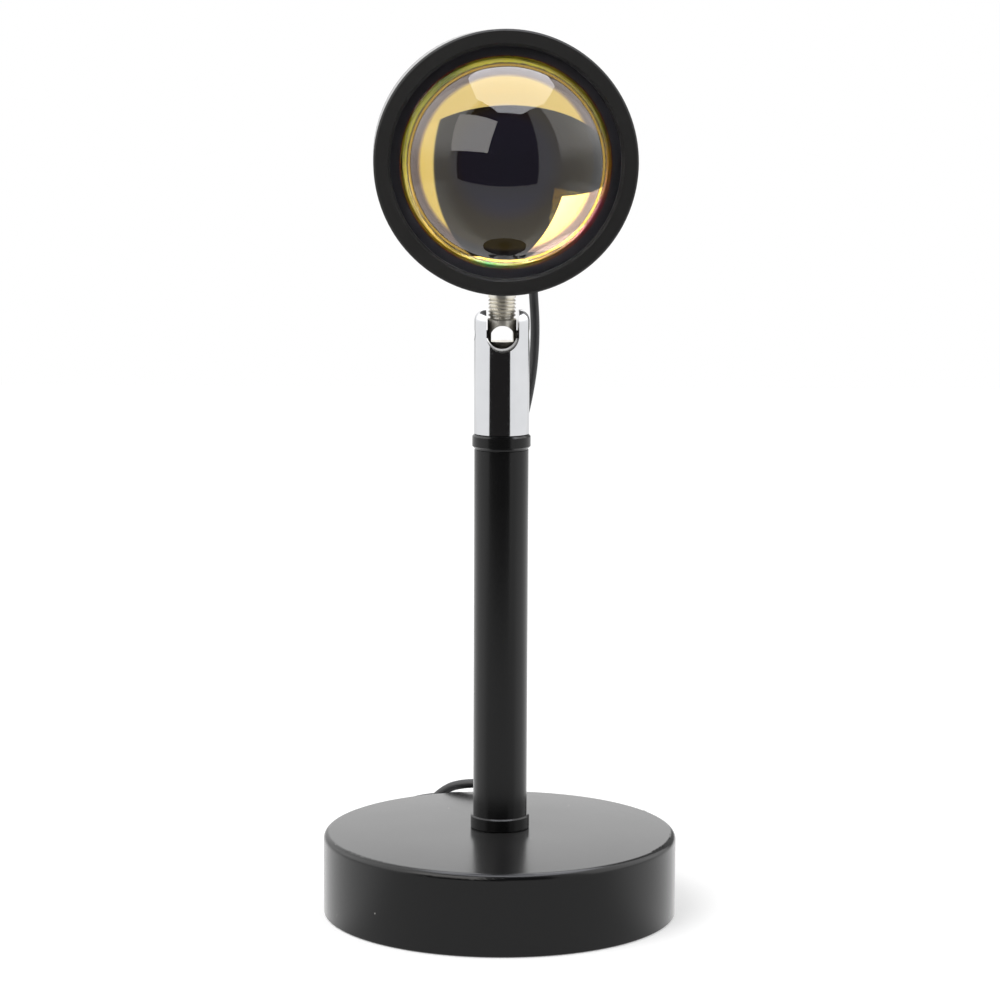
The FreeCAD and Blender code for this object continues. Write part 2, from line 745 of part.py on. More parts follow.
def make_switch_lower_case():
    half = switch_h / 2
    case = rounded_bar(switch_wide, switch_long, half, 4.0, switch_centre, 0)
    case = case.makeChamfer(0.8, [e for e in case.Edges if e.BoundBox.ZMax < 0.01])
    return case.cut(rounded_bar(switch_wide - 2 * switch_wall, switch_long - 2 * switch_wall, half,
                                2.5, switch_centre, switch_wall)).removeSplitter()


def make_switch_upper_case():
    half = switch_h / 2
    case = rounded_bar(switch_wide, switch_long, half, 4.0, switch_centre, half)
    case = case.makeFillet(1.2, [e for e in case.Edges if e.BoundBox.ZMin > switch_h - 0.01])
    case = case.cut(rounded_bar(switch_wide - 2 * switch_wall, switch_long - 2 * switch_wall,
                                half - switch_wall, 2.5, switch_centre, half))
    return case.cut(rod(button_r + 0.3, switch_centre + V(0, 0, half), Z_AXIS, half + 1)).removeSplitter()


def make_switch_glands():
    glands = []
    for side in (-1, 1):
        start = switch_centre + V(0, side * switch_long / 2, switch_h / 2)
        glands.append(Part.makeCone(2.6, 1.8, switch_gland, start, V(0, side, 0)))
    return Part.makeCompound(glands)


def make_switch_module():
    return rounded_bar(8.0, 8.0, 2.9, 0.4, switch_centre, switch_wall)


def make_switch_button():
    low = switch_h - switch_wall - 1.3
    high = switch_h + 1.6
    cap = turned((0, low), (button_r + 0.9, low), (button_r + 0.9, low + 0.9), (button_r, low + 0.9),
                 (button_r, high - 0.5), (button_r - 0.5, high), (0, high))
    cap.translate(switch_centre)
    return cap


def make_plug_body():
    """A ribbed grip whose tapered tail holds the cord; the plug points back towards the base."""
    back = plug_tail.y - plug_relief
    corner = V(plug_tail.x - plug_grip.x / 2, back - plug_grip.y, plug_tail.z - plug_grip.z / 2)
    grip = Part.makeBox(plug_grip.x, plug_grip.y, plug_grip.z, corner)
    grip = grip.makeFillet(2.2, [e for e in grip.Edges if abs(e.tangentAt(e.FirstParameter).y) > 0.9])
    body = grip.fuse(Part.makeCone(3.1, 1.9, plug_relief, V(plug_tail.x, back, plug_tail.z), Y_AXIS))
    for side in (-1, 1):
        for rib in range(5):
            rib_corner = V(plug_tail.x + side * plug_grip.x / 2 - 0.5, corner.y + 5.2 + rib * 2.4,
                           plug_tail.z - 2.5)
            body = body.cut(Part.makeBox(1.0, 0.9, 5.0, rib_corner))
    return body.removeSplitter()


def plug_front():
    return plug_tail - V(0, plug_relief + plug_grip.y, 0)


def make_plug_shell():
    size = plug_shell_size
    low = plug_front() - V(size.x / 2, size.y, size.z / 2)
    hollow = low + V(plug_shell_t, 0, plug_shell_t)
    shell = Part.makeBox(size.x, size.y, size.z, low)
    shell = shell.cut(Part.makeBox(size.x - 2 * plug_shell_t, size.y, size.z - 2 * plug_shell_t, hollow))
    for side in (-1, 1):
        shell = shell.cut(Part.makeBox(2.2, 2.0, 10.0, plug_front() + V(side * 2.8 - 1.1, -7.2, -5.0)))
    return shell


def make_plug_tongue():
    long = plug_shell_size.y - 1.0
    half = plug_shell_size.x / 2 - plug_shell_t - 0.1
    low = plug_shell_size.z / 2 - plug_shell_t
    return Part.makeBox(2 * half, long, 1.9, plug_front() - V(half, long, low))


MAKERS = {
    "base_shell": make_base_shell, "base_weight": make_base_weight, "bottom_plate": make_bottom_plate,
    "plate_screws": make_plate_screws, "base_pad": make_base_pad, "pole_bolt": make_pole_bolt,
    "bolt_washer": make_bolt_washer, "pole_insert": make_pole_insert, "lower_collar": make_lower_collar,
    "pole_tube": make_pole_tube, "upper_collar": make_upper_collar, "fork": make_fork,
    "pivot_screws": make_pivot_screws, "knuckle": make_knuckle, "stud_saddle": make_stud_saddle,
    "stud_nut": make_stud_nut, "head_barrel": make_head_barrel, "front_ring": make_front_ring,
    "lens": make_lens, "color_filter": make_color_filter, "lens_gasket": make_lens_gasket,
    "heat_sink": make_heat_sink, "led_board": make_led_board, "led_screws": make_led_screws,
    "led_emitter": make_led_emitter, "led_resistors": make_led_resistors, "led_leads": make_led_leads,
    "rear_cover": make_rear_cover, "rear_screws": make_rear_screws, "cord_gland": make_cord_gland,
    "cord_head_loop": make_cord_head_loop, "cord_drop": make_cord_drop, "cord_coil": make_cord_coil,
    "cord_tie": make_cord_tie, "cord_switch_lead": make_cord_switch_lead,
    "switch_lower_case": make_switch_lower_case, "switch_upper_case": make_switch_upper_case,
    "switch_glands": make_switch_glands, "switch_module": make_switch_module,
    "switch_button": make_switch_button, "cord_plug_lead": make_cord_plug_lead,
    "plug_body": make_plug_body, "plug_shell": make_plug_shell, "plug_tongue": make_plug_tongue,
}

os.makedirs("parts", exist_ok=True)
for node, make in MAKERS.items():
    shape = make()
    shape.exportStep("parts/%s.step" % node)
    solids = shape.Solids
    if not shape.isValid() or not solids:
        print("CHECK", node, "valid", shape.isValid(), "solids", len(solids))
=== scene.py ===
"""Looks of the sunset projection lamp: finishes, cord, strap, foot pad, colour filter, light and camera.

Metres, +Z up, the lens faces -Y, origin at the centre of the underside of the foot pad.
"""
import math

import bmesh
import bpy
from mathutils import Matrix, Vector


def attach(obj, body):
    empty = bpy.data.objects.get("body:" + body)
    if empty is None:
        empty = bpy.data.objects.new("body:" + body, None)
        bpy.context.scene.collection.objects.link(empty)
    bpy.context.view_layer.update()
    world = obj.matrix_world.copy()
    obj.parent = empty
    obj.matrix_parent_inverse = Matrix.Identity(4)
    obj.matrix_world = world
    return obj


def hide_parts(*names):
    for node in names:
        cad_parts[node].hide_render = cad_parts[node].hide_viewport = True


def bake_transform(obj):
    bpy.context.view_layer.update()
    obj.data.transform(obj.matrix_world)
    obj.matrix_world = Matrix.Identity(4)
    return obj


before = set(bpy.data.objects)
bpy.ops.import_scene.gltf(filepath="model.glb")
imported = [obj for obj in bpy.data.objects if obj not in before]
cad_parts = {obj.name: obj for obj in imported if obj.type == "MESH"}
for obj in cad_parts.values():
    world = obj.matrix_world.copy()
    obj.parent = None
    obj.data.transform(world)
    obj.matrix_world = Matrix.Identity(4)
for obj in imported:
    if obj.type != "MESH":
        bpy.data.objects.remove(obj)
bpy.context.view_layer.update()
scene = bpy.context.scene
scene.view_settings.view_transform = "Standard"
MM = 0.001


# ---------------------------------------------------------------- camera
camera_place = (-0.00034, -0.9, 0.246)
camera_pitch = math.pi / 2 - 0.1412
camera_roll = math.radians(0.25)
focal_length = 116.7
sensor_width = 36.0


def set_camera():
    """About 0.9 m in front of the lamp, looking a little down on it and rolled a touch, as photographed."""
    lens = bpy.data.cameras.new("camera")
    lens.lens = focal_length
    lens.sensor_width = sensor_width
    camera = bpy.data.objects.new("camera", lens)
    camera.location = camera_place
    turned = Matrix.Rotation(camera_pitch, 3, "X") @ Matrix.Rotation(camera_roll, 3, "Z")
    camera.rotation_euler = turned.to_euler()
    scene.collection.objects.link(camera)
    scene.camera = camera


# ---------------------------------------------------------------- cord
cord_r = 1.35 * MM
cord_sides = 16
cord_fixed_end = (4.1, 50.0, 120.25)
coil_centre = (-14.0, 74.0)
coil_pitch = 3.2
coil_outer_r = 19.1
coil_layer_turns = 3.25
coil_layers = 4
coil_total_turns = 12.5
coil_climb = 0.5
coil_bottom = 2.0
points_per_turn = 12

gland_tip = (8.139, 33.362, 190.0)
behind_head = [(7.83, 41.0, 190.0), (8.4, 48.8, 184.6), (9.1, 52.8, 174.0), (10.0, 52.6, 160.5),
               (8.9, 51.2, 146.0), (5.0, 50.2, 129.0)]
down_to_table = [(3.2, 49.8, 111.5), (2.8, 48.6, 94.0), (2.6, 47.4, 76.5), (2.6, 46.5, 59.5),
                 (2.4, 45.8, 43.5), (0.4, 46.0, 32.4), (-4.8, 47.2, 25.9), (-11.2, 49.4, 25.2),
                 (-16.4, 51.8, 23.2), (-22.8, 55.0, 16.2), (-30.6, 58.6, 6.6), (-33.1, 65.3, 2.0)]
coil_start = (-33.1, 71.3, 2.0)
coil_exit = (3.5, 71.3, 11.6)
to_switch = [(3.5, 65.0, 11.6), (3.8, 57.3, 9.0), (8.8, 51.8, 6.2), (16.2, 51.8, 4.7), (21.5, 57.1, 4.5)]
switch_front = (21.5, 64.8, 4.5)
switch_back = (21.5, 99.8, 4.5)
to_plug = [(21.5, 107.2, 4.5), (26.8, 112.5, 4.2), (34.2, 112.5, 3.8), (39.5, 107.2, 3.6)]
plug_tail = (39.5, 99.6, 3.6)


def coil_state(turn):
    """Radius and height of the coil's line: it spirals in and out, and climbs where it reverses."""
    layer = min(int(turn / coil_layer_turns), coil_layers - 1)
    within = turn - layer * coil_layer_turns
    inwards = within if layer % 2 == 0 else coil_layer_turns - within
    radius = coil_outer_r - inwards * coil_pitch
    height = coil_bottom + layer * coil_pitch
    reversal = min(max(round(turn / coil_layer_turns), 1), coil_layers - 1)
    past = (turn - reversal * coil_layer_turns) / coil_climb
    if abs(past) < 0.5:
        rounding = (0.25 + past * past - abs(past)) * coil_climb * coil_pitch
        radius += rounding if reversal % 2 == 1 else -rounding
        share = past + 0.5
        height = coil_bottom + (reversal - 1 + share * share * (3 - 2 * share)) * coil_pitch
    return radius, height


def coil_turns():
    """Control points of the turns, as far out as keeps the smooth line on the turn's own radius."""
    reach = 1 / math.cos(math.pi / points_per_turn)
    points = []
    for step in range(int(coil_total_turns * points_per_turn) + 1):
        turn = step / points_per_turn
        radius, height = coil_state(turn)
        angle = math.pi - math.tau * turn
        points.append((coil_centre[0] + radius * reach * math.cos(angle),
                       coil_centre[1] + radius * reach * math.sin(angle), height))
    return points


def smooth_line(name, route):
    """Points read from the NURBS spline whose control points are the route's."""
    curve = bpy.data.curves.new(name + "_line", "CURVE")
    curve.dimensions = "3D"
    spline = curve.splines.new("NURBS")
    spline.points.add(len(route) - 1)
    for point, place in zip(spline.points, route):
        point.co = (place[0] * MM, place[1] * MM, place[2] * MM, 1)
    spline.order_u = 3
    spline.use_endpoint_u = True
    spline.resolution_u = 10
    holder = bpy.data.objects.new(name + "_line", curve)
    scene.collection.objects.link(holder)
    mesh = bpy.data.meshes.new_from_object(holder)
    line = [tuple(v.co) for v in mesh.vertices]
    bpy.data.objects.remove(holder)
    bpy.data.meshes.remove(mesh)
    return line


def sheath_tree():
    """Geometry nodes that lay a round sheath along a line of points."""
    tree = bpy.data.node_groups.new("cord_sheath", "GeometryNodeTree")
    face = tree.interface
    face.new_socket("Line", in_out="INPUT", socket_type="NodeSocketGeometry")
    face.new_socket("Radius", in_out="INPUT", socket_type="NodeSocketFloat")
    face.new_socket("Sides", in_out="INPUT", socket_type="NodeSocketInt")
    face.new_socket("Finish", in_out="INPUT", socket_type="NodeSocketMaterial")
    face.new_socket("Sheath", in_out="OUTPUT", socket_type="NodeSocketGeometry")
    start = tree.nodes.new("NodeGroupInput")
    end = tree.nodes.new("NodeGroupOutput")
    line = tree.nodes.new("GeometryNodeMeshToCurve")
    section = tree.nodes.new("GeometryNodeCurvePrimitiveCircle")
    sheath = tree.nodes.new("GeometryNodeCurveToMesh")
    sheath.inputs["Fill Caps"].default_value = True
    smooth = tree.nodes.new("GeometryNodeSetShadeSmooth")
    real = tree.nodes.new("GeometryNodeRealizeInstances")
    finish = tree.nodes.new("GeometryNodeSetMaterial")
    link = tree.links.new
    link(start.outputs["Line"], line.inputs["Mesh"])
    link(start.outputs["Radius"], section.inputs["Radius"])
    link(start.outputs["Sides"], section.inputs["Resolution"])
    link(line.outputs["Curve"], sheath.inputs["Curve"])
    link(section.outputs["Curve"], sheath.inputs["Profile Curve"])
    link(sheath.outputs["Mesh"], smooth.inputs["Geometry"])
    link(smooth.outputs["Geometry"], real.inputs["Geometry"])
    link(real.outputs["Geometry"], finish.inputs["Geometry"])
    link(start.outputs["Finish"], finish.inputs["Material"])
    link(finish.outputs["Geometry"], end.inputs["Sheath"])
    return tree


def grown(name, mesh, tree, values):
    """The plain mesh that a geometry node tree makes of a mesh."""
    holder = bpy.data.objects.new(name + "_source", mesh)
    scene.collection.objects.link(holder)
    modifier = holder.modifiers.new("grow", "NODES")
    modifier.node_group = tree
    for item in tree.interface.items_tree:
        if item.name in values:
            modifier[item.identifier] = values[item.name]
    result = bpy.data.meshes.new_from_object(holder.evaluated_get(bpy.context.evaluated_depsgraph_get()))
    bpy.data.objects.remove(holder)
    result.name = name
    piece = bpy.data.objects.new(name, result)
    scene.collection.objects.link(piece)
    return piece


def cord_sheath(name, line, tree, finish):
    """A round cord along a line of points."""
    mesh = bpy.data.meshes.new(name + "_points")
    mesh.from_pydata(line, [(k, k + 1) for k in range(len(line) - 1)], [])
    return grown(name, mesh, tree, {"Radius": cord_r, "Sides": cord_sides, "Finish": finish})


def in_metres(point):
    return tuple(c * MM for c in point)


def make_cords(finishes):
    """The lamp cord from the head to the switch, with its strap, and the lead from there to the plug."""
    tree = sheath_tree()
    route = ([gland_tip] + behind_head + down_to_table + [coil_start] + coil_turns() + [coil_exit]
             + to_switch + [switch_front])
    line = smooth_line("lamp_cord", route)
    cord = cord_sheath("lamp_cord", line, tree, finishes["cord_black"])
    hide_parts("cord_head_loop", "cord_drop", "cord_coil", "cord_switch_lead")
    strap = make_strap(finishes["tie_black"])
    in_metres(cord_fixed_end)
    in_metres(gland_tip)
    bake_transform(cord)
    in_metres(gland_tip)
    lead_line = smooth_line("plug_lead", [switch_back] + to_plug + [plug_tail])
    lead = cord_sheath("plug_lead", lead_line, tree, finishes["cord_black"])
    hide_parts("cord_plug_lead")
    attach(lead, "stand")
    in_metres(switch_back)


# ---------------------------------------------------------------- strap and foot pad
sharp_from = math.radians(25)
strap_low = (53.25, 0.05)
strap_high = (68.09, 13.50)
strap_corner = 1.6
strap_thickness = 0.5
strap_half_width = 3.0
selvedge = 0.35
corner_steps = 6
pad_r = 46.0
pad_top = 2.0
round_steps = 128


def finished_object(name, shell, finish, node, body):
    """A bmesh as a smooth piece that stands for a node of the CAD and rides on its body."""
    mesh = bpy.data.meshes.new(name)
    bmesh.ops.recalc_face_normals(shell, faces=shell.faces)
    for face in shell.faces:
        face.smooth = True
    for edge in shell.edges:
        edge.smooth = edge.calc_face_angle(0.0) < sharp_from
    shell.to_mesh(mesh)
    shell.free()
    mesh.materials.append(finish)
    piece = bpy.data.objects.new(name, mesh)
    scene.collection.objects.link(piece)
    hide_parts(node)
    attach(piece, body)
    return piece


def rounded_loop(inset):
    """Points of the strap's section in the YZ plane, a rectangle with round corners, going once round."""
    low, high = [c + inset for c in strap_low], [c - inset for c in strap_high]
    corner = strap_corner - inset
    points = []
    turns = ((high[0] - corner, high[1] - corner, 0), (low[0] + corner, high[1] - corner, 90),
             (low[0] + corner, low[1] + corner, 180), (high[0] - corner, low[1] + corner, 270))
    for y, z, start in turns:
        for step in range(corner_steps + 1):
            angle = math.radians(start + 90 * step / corner_steps)
            points.append((y + corner * math.cos(angle), z + corner * math.sin(angle)))
    return points


def make_strap(finish):
    """A woven strap round the turns of the coil, thinner towards its selvedges."""
    middle = coil_centre[0]
    half = strap_half_width
    shell = bmesh.new()
    rings = []
    for o, i in zip(rounded_loop(0.0), rounded_loop(strap_thickness)):
        centre = ((o[0] + i[0]) / 2, (o[1] + i[1]) / 2)
        ring = []
        for across, level in ((-half, 0.0), (-half + selvedge, 1.0), (half - selvedge, 1.0), (half, 0.0)):
            ring.append((middle + across, centre[0] + (o[0] - centre[0]) * level,
                         centre[1] + (o[1] - centre[1]) * level))
        for across in (half - selvedge, -half + selvedge):
            ring.append((middle + across, i[0], i[1]))
        rings.append([shell.verts.new(in_metres(p)) for p in ring])
    for first, second in zip(rings, rings[1:] + rings[:1]):
        for k in range(len(first)):
            after = (k + 1) % len(first)
            shell.faces.new((first[k], first[after], second[after], second[k]))
    return finished_object("coil_strap", shell, finish, "cord_tie", "stand")


def make_foot_pad(finish):
    """Foam disc under the base: soft rounded edge, flat underside."""
    profile = [(0.0, 0.0), (pad_r - 1.0, 0.0), (pad_r - 0.5, 0.06), (pad_r - 0.15, 0.3),
               (pad_r, 0.7), (pad_r, 1.6), (pad_r - 0.15, pad_top), (0.0, pad_top)]
    pad = turned_piece("foot_pad", profile, finish, "base_pad", "stand", Matrix())


def turned_piece(name, profile, finish, node, body, place):
    """A closed profile in (radius, height), in millimetres, turned about Z and then put in its place."""
    shell = bmesh.new()
    rings = []
    for radius, height in profile:
        if radius == 0.0:
            rings.append([shell.verts.new((0, 0, height * MM))])
            continue
        rings.append([shell.verts.new((radius * MM * math.cos(math.tau * k / round_steps),
                                       radius * MM * math.sin(math.tau * k / round_steps), height * MM))
                      for k in range(round_steps)])
    for low, high in zip(rings, rings[1:]):
        for k in range(round_steps):
            after = (k + 1) % round_steps
            corners = [low[k % len(low)], low[after % len(low)],
                       high[after % len(high)], high[k % len(high)]]
            shell.faces.new(list(dict.fromkeys(corners)))
    bmesh.ops.transform(shell, matrix=place, verts=shell.verts)
    return finished_object(name, shell, finish, node, body)


# ---------------------------------------------------------------- colour filter
head_yaw = math.radians(2.35)
head_z = 213.0 * MM
lens_way = Vector((math.sin(head_yaw), -math.cos(head_yaw), 0))
filter_r = 32.9
filter_front = -17.35
filter_back = -16.3
filter_bevel = 0.15
board_depth = 7.4


def along_lens():
    """Takes +Z to the lens axis: the height in a profile becomes the place along the axis."""
    return (Matrix.Translation((0, 0, head_z)) @ Matrix.Rotation(head_yaw, 4, "Z")
            @ Matrix.Rotation(-math.pi / 2, 4, "X"))


def make_filter(finish):
    """The coated disc behind the dome, a hair behind the glass so that light passes a real gap."""
    flat_r = filter_r - filter_bevel
    profile = [(0.0, filter_front), (flat_r, filter_front), (filter_r, filter_front + filter_bevel),
               (filter_r, filter_back - filter_bevel), (flat_r, filter_back), (0.0, filter_back)]
    turned_piece("sunset_filter", profile, finish, "color_filter", "head", along_lens())


# ---------------------------------------------------------------- shader writing
class Wire:
    """A node's output.  The operators on it add Math nodes to the same tree."""

    def __init__(self, recipe, socket):
        self.recipe = recipe
        self.socket = socket

    def maths(self, operation, first, second):
        return self.recipe.node("Math", {"operation": operation}, {0: first, 1: second})

    def __add__(self, other):
        return self.maths("ADD", self, other)

    def __sub__(self, other):
        return self.maths("SUBTRACT", self, other)

    def __rsub__(self, other):
        return self.maths("SUBTRACT", other, self)

    def __mul__(self, other):
        return self.maths("MULTIPLY", self, other)

    def __truediv__(self, other):
        return self.maths("DIVIDE", self, other)

    def __gt__(self, other):
        return self.maths("GREATER_THAN", self, other)

    __radd__ = __add__


class Recipe:
    """Fills one node tree: a material's or the world's."""

    def __init__(self, owner):
        owner.use_nodes = True
        self.owner = owner
        self.tree = owner.node_tree
        self.tree.nodes.clear()

    def node(self, kind, settings, inputs, output=0):
        """Adds a node and gives one of its outputs, or the recipe's owner where it has none."""
        made = self.tree.nodes.new("ShaderNode" + kind)
        for name, value in settings.items():
            if name == "stops":
                fill_ramp(made.color_ramp, value)
            else:
                setattr(made, name, value)
        for place, value in inputs.items():
            if isinstance(value, Wire):
                self.tree.links.new(value.socket, made.inputs[place])
            else:
                made.inputs[place].default_value = value
        return Wire(self, made.outputs[output]) if made.outputs else self.owner

    def place(self):
        return self.node("TexCoord", {}, {}, "Object")

    def vector(self, operation, first, second, output="Vector"):
        return self.node("VectorMath", {"operation": operation}, {0: first, 1: second}, output)

    def noise(self, where, size, detail, roughness=0.5):
        """Cloudy noise around 0.5 whose patches are about this size in metres."""
        return self.node("TexNoise", {}, {"Vector": where, "Scale": 1 / size, "Detail": detail,
                                          "Roughness": roughness})

    def between(self, value, start, end, low=0.0, high=1.0):
        """Goes smoothly from low to high as the value goes from start to end."""
        return self.node("MapRange", {"interpolation_type": "SMOOTHSTEP"},
                         {0: value, 1: start, 2: end, 3: low, 4: high})

    def mix(self, share, first, second):
        """Mixes two colours.  6, 7 and output 2 are the Mix node's colour sockets."""
        return self.node("Mix", {"data_type": "RGBA"}, {0: share, 6: first, 7: second}, 2)

    def bump(self, height, distance, strength):
        return self.node("Bump", {}, {"Height": height, "Distance": distance, "Strength": strength},
                         "Normal")

    def ray(self, kind):
        return self.node("LightPath", {}, {}, kind)

    def mirror_ray(self):
        """1 for what metal and glass show."""
        return self.node("Math", {"operation": "MAXIMUM"},
                         {0: self.ray("Is Glossy Ray"), 1: self.ray("Is Transmission Ray")})

    def end(self, shader, kind="Material"):
        return self.node("Output" + kind, {}, {"Surface": shader})

    def principled(self, **values):
        """The main shader.  A socket's name is written with _ for the space."""
        inputs = {name.replace("_", " "): value for name, value in values.items()}
        return self.end(self.node("BsdfPrincipled", {}, inputs))


# The coating's colours from the middle of the disc out; the thin dark and gold rings past 0.52 are painted
# colour fringes of the dome's refraction.
# Then the painted glints and colour fringes round the dome's edge from the left side downwards.  Then where
# the painted glints, the painted red fringe and the black flange begin, as shares of the radius.
ring_stops = [(0.000, (0.66, 0.66, 1.00)), (0.240, (0.68, 0.62, 0.96)), (0.300, (0.82, 0.62, 0.55)),
              (0.335, (0.87, 0.63, 0.18)), (0.500, (0.84, 0.59, 0.09)), (0.520, (0.30, 0.17, 0.06)),
              (0.532, (0.10, 0.05, 0.03)), (0.588, (0.10, 0.05, 0.03)), (0.598, (0.62, 0.40, 0.05)),
              (0.612, (0.62, 0.40, 0.05)), (0.622, (0.16, 0.10, 0.03)), (0.770, (0.16, 0.10, 0.03)),
              (0.860, (0.16, 0.10, 0.03))]
edge_glint_stops = [(0.000, (0.82, 0.70, 0.03)), (0.120, (0.95, 0.60, 0.03)), (0.190, (0.62, 0.44, 0.03)),
               (0.225, (0.10, 0.46, 0.11)), (0.255, (0.38, 0.46, 0.08)), (0.300, (0.64, 0.40, 0.04)),
               (0.370, (0.48, 0.12, 0.10)), (0.430, (0.46, 0.08, 0.13)), (0.490, (0.82, 0.38, 0.03)),
               (0.570, (0.40, 0.36, 0.03)), (0.660, (0.70, 0.54, 0.03)), (0.730, (0.95, 0.85, 0.04)),
               (0.790, (0.92, 0.80, 0.04)), (0.850, (0.34, 0.40, 0.03)), (0.920, (0.66, 0.60, 0.03)),
               (1.000, (0.82, 0.70, 0.03))]
edge_glints_from = (0.625, 0.640)
red_fringe_from = (0.728, 0.740)
flange_from = (0.862, 0.872)


def fill_ramp(ramp, stops):
    """Stops are pairs of place and colour, in order."""
    while len(ramp.elements) < len(stops):
        ramp.elements.new(1.0)
    for element, (place, colour) in zip(ramp.elements, stops):
        element.position = place
        element.color = (*colour, 1.0)


def shade(red, green, blue):
    return (red, green, blue, 1.0)


def new_recipe(name):
    return Recipe(bpy.data.materials.new(name))


# ---------------------------------------------------------------- finishes
def satin_paint():
    """Powder coat with fine orange peel, faint wiping marks and a few specks of dust."""
    r = new_recipe("satin_black_paint")
    where = r.place()
    cloud = r.noise(where, 0.018, 3.0)
    fine = r.noise(where, 0.0007, 3.0, 0.6)
    specks = r.node("TexVoronoi", {}, {"Vector": where, "Scale": 170.0, "Randomness": 1.0}, "Distance")
    dust = r.between(specks, 0.05, 0.025) * (r.noise(where, 0.011, 1.0) > 0.55)
    paint = r.mix(cloud, shade(0.0032, 0.0032, 0.0033), shade(0.0048, 0.0048, 0.0050))
    return r.principled(Base_Color=r.mix(dust * 0.7, paint, shade(0.42, 0.41, 0.39)),
                        Roughness=0.15 + cloud * 0.06 + fine * 0.04 + dust * 0.3,
                        IOR=1.38, Sheen_Weight=0.1, Sheen_Roughness=0.3, Normal=r.bump(fine, 0.00002, 0.5))


def anodised_black():
    """Blasted and anodised aluminium: dense fine grain, a dull sheen."""
    r = new_recipe("black_anodised_aluminium")
    where = r.place()
    grain = r.noise(where, 0.00025, 2.0, 0.7)
    cloud = r.noise(where, 0.012, 3.0)
    colour = r.mix(cloud, shade(0.0065, 0.0060, 0.0056), shade(0.0100, 0.0095, 0.0090))
    return r.principled(Base_Color=colour, Roughness=0.5 + grain * 0.12, IOR=1.38,
                        Normal=r.bump(grain, 0.00003, 0.7))


shaded_slot_r = (0.0076, 0.0074)
shaded_slot_top = (0.1690, 0.1675)


def bright_chrome():
    """Chrome plate over polished steel, with faint wiping marks; deep in the milled slot it is rougher and
    darkened by painted shade.
    """
    r = new_recipe("bright_chrome_plate")
    where = r.place()
    smear = r.noise(r.vector("MULTIPLY", where, (1.0, 1.0, 0.12)), 0.0011, 3.0)
    cloud = r.noise(where, 0.006, 2.0)
    from_axis = r.vector("LENGTH", r.vector("MULTIPLY", where, (1.0, 1.0, 0.0)), (0, 0, 0), "Value")
    height = r.node("SeparateXYZ", {}, {0: where}, "Z")
    # Painted shade: the slot's faces inside this radius and below this height are darkened, and made
    # rougher.
    slot = r.between(from_axis, *shaded_slot_r) * r.between(height, *shaded_slot_top)
    plate = r.mix(cloud, shade(0.72, 0.73, 0.75), shade(0.80, 0.81, 0.83))
    return r.principled(Base_Color=r.mix(slot, plate, shade(0.22, 0.215, 0.21)),
                        Metallic=1.0, Roughness=0.05 + smear * 0.05 + cloud * 0.02 + slot * 0.25,
                        Normal=r.bump(smear, 0.000004, 0.4))


def warm_nickel():
    """Nickel plate on a turned part: fine tool marks round its axis."""
    r = new_recipe("warm_nickel_plate")
    where = r.place()
    marks = r.noise(r.vector("MULTIPLY", where, (0.15, 0.15, 1.0)), 0.00022, 2.0)
    cloud = r.noise(where, 0.003, 2.0)
    return r.principled(Base_Color=r.mix(cloud, shade(0.74, 0.71, 0.63), shade(0.84, 0.81, 0.74)),
                        Metallic=1.0, Roughness=0.30 + marks * 0.14,
                        Normal=r.bump(marks, 0.00001, 0.5))


def plated_steel(name, light, dark, roughness):
    """Zinc plate or black oxide: mottled colour and a brushed grain."""
    r = new_recipe(name)
    where = r.place()
    cloud = r.noise(where, 0.0016, 4.0, 0.65)
    grain = r.noise(r.vector("MULTIPLY", where, (1.0, 0.2, 1.0)), 0.0002, 2.0)
    return r.principled(Base_Color=r.mix(cloud, dark, light), Metallic=1.0,
                        Roughness=roughness + grain * 0.15, Normal=r.bump(grain, 0.00001, 0.4))


def raw_iron():
    """Sand-cast iron with a coarse skin."""
    r = new_recipe("raw_cast_iron")
    where = r.place()
    skin = r.noise(where, 0.0012, 5.0, 0.7)
    rust = r.between(r.noise(where, 0.009, 4.0), 0.58, 0.72)
    colour = r.mix(skin, shade(0.10, 0.10, 0.105), shade(0.22, 0.22, 0.225))
    return r.principled(Base_Color=r.mix(rust * 0.5, colour, shade(0.19, 0.10, 0.06)), Metallic=0.6,
                        Roughness=0.55 + skin * 0.2, Normal=r.bump(skin, 0.00015, 0.6))


def bare_aluminium():
    """Extruded aluminium: draw lines along the fins."""
    r = new_recipe("bare_aluminium_extrusion")
    where = r.place()
    lines = r.noise(r.vector("MULTIPLY", where, (0.04, 1.0, 1.0)), 0.00025, 2.0)
    return r.principled(Base_Color=r.mix(lines, shade(0.62, 0.63, 0.65), shade(0.76, 0.77, 0.79)),
                        Metallic=1.0, Roughness=0.3 + lines * 0.15, Normal=r.bump(lines, 0.00001, 0.6))


def soft_moulding(name, dark, light, roughness, grain_size, relief):
    """Moulded plastic or rubber with the fine grain of its tool."""
    r = new_recipe(name)
    where = r.place()
    grain = r.noise(where, grain_size, 2.0, 0.6)
    cloud = r.noise(where, 0.008, 3.0)
    return r.principled(Base_Color=r.mix(cloud, dark, light), Roughness=roughness + grain * 0.12,
                        Normal=r.bump(grain, relief, 0.6))


def cord_sheath_finish():
    """Soft PVC: satin, with slight dents and dull patches from handling."""
    r = new_recipe("cord_black_sheath")
    where = r.place()
    dents = r.noise(where, 0.0035, 2.0)
    fine = r.noise(where, 0.0003, 2.0)
    return r.principled(Base_Color=r.mix(dents, shade(0.012, 0.012, 0.013), shade(0.024, 0.024, 0.026)),
                        Roughness=0.36 + dents * 0.12 + fine * 0.06, Normal=r.bump(fine, 0.00002, 0.5))


